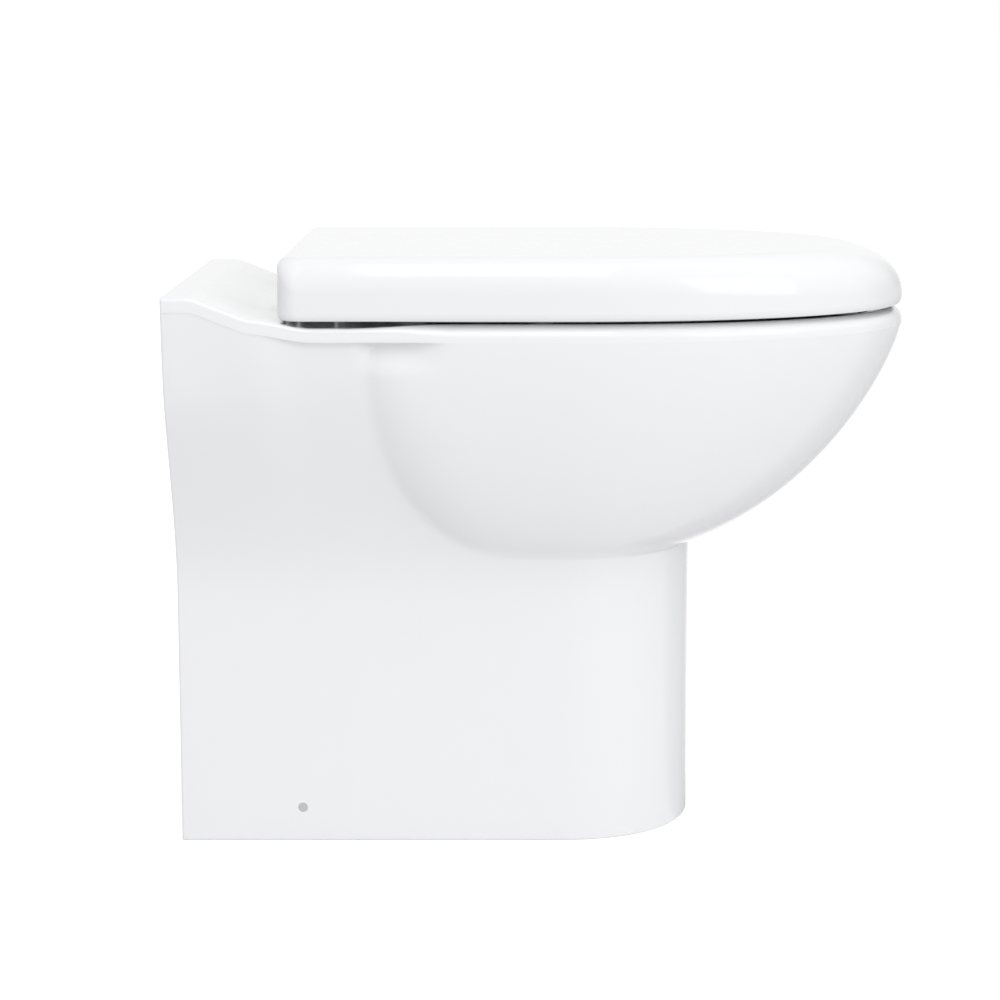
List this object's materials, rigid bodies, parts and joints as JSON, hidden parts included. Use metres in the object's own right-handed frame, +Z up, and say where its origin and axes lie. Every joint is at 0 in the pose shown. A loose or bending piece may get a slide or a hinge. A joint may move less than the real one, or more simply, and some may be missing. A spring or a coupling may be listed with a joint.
{
  "type": "back-to-wall toilet pan with seat and lid",
  "caption": "White back-to-wall toilet pan with an open-backed skirt, raised rear deck, bowl, trapway, hinged seat ring and wrap-over hinged lid.",
  "frame": {"origin": "on the floor, under the middle of the whole object's box, so the wall is at +Y 277.5 mm", "axes": "+Z up, +Y from the front of the bowl towards the wall, +X across the pan, to its right seen from the front"},
  "size_m": [0.36, 0.555, 0.45],
  "materials": {
    "china": "glossy white glaze",
    "seat_plastic": "polished white moulding",
    "rubber": "matt dark grey",
    "buffer_rubber": "matt pale grey",
    "hinge_steel": "satin",
    "damper_plastic": "fine-grained grey",
    "bracket_plastic": "fine-grained off-white",
    "cap_plastic": "smooth grey-white"
  },
  "bodies": {
    "pan_body": {"pan": "china", "foot": "china", "trap_bend": "china", "inlet_horn": "china", "hinge_plate_left": "hinge_steel", "hinge_plate_right": "hinge_steel", "hinge_gasket_left": "rubber", "hinge_gasket_right": "rubber", "hinge_post_left": "hinge_steel", "hinge_post_right": "hinge_steel", "hinge_pin_left": "hinge_steel", "hinge_pin_right": "hinge_steel", "hinge_bolt_left": "hinge_steel", "hinge_bolt_right": "hinge_steel", "fixing_bush_left": "rubber", "fixing_bush_right": "rubber", "fixing_washers": "hinge_steel", "wing_nut_left": "bracket_plastic", "wing_nut_right": "bracket_plastic", "floor_bracket_left": "bracket_plastic", "floor_bracket_right": "bracket_plastic", "side_screw_left": "hinge_steel", "side_screw_right": "hinge_steel", "screw_cap_left": "cap_plastic", "screw_cap_right": "cap_plastic"},
    "ring_body": {"seat_ring": "seat_plastic", "ring_buffers_front": "buffer_rubber", "ring_buffers_rear": "buffer_rubber", "ring_damper": "damper_plastic"},
    "lid_body": {"lid": "seat_plastic", "lid_buffers": "buffer_rubber", "lid_damper": "damper_plastic"}
  },
  "joints": [
    {"name": "seat_hinge", "type": "hinge", "parent": "pan_body", "child": "ring_body", "pos_m": [0, 0.1795, 0.4375], "axis": [-1, 0, 0], "range_deg": [0, 90]},
    {"name": "lid_hinge", "type": "hinge", "parent": "ring_body", "child": "lid_body", "pos_m": [0, 0.1795, 0.4375], "axis": [-1, 0, 0], "range_deg": [0, 90]}
  ]
}
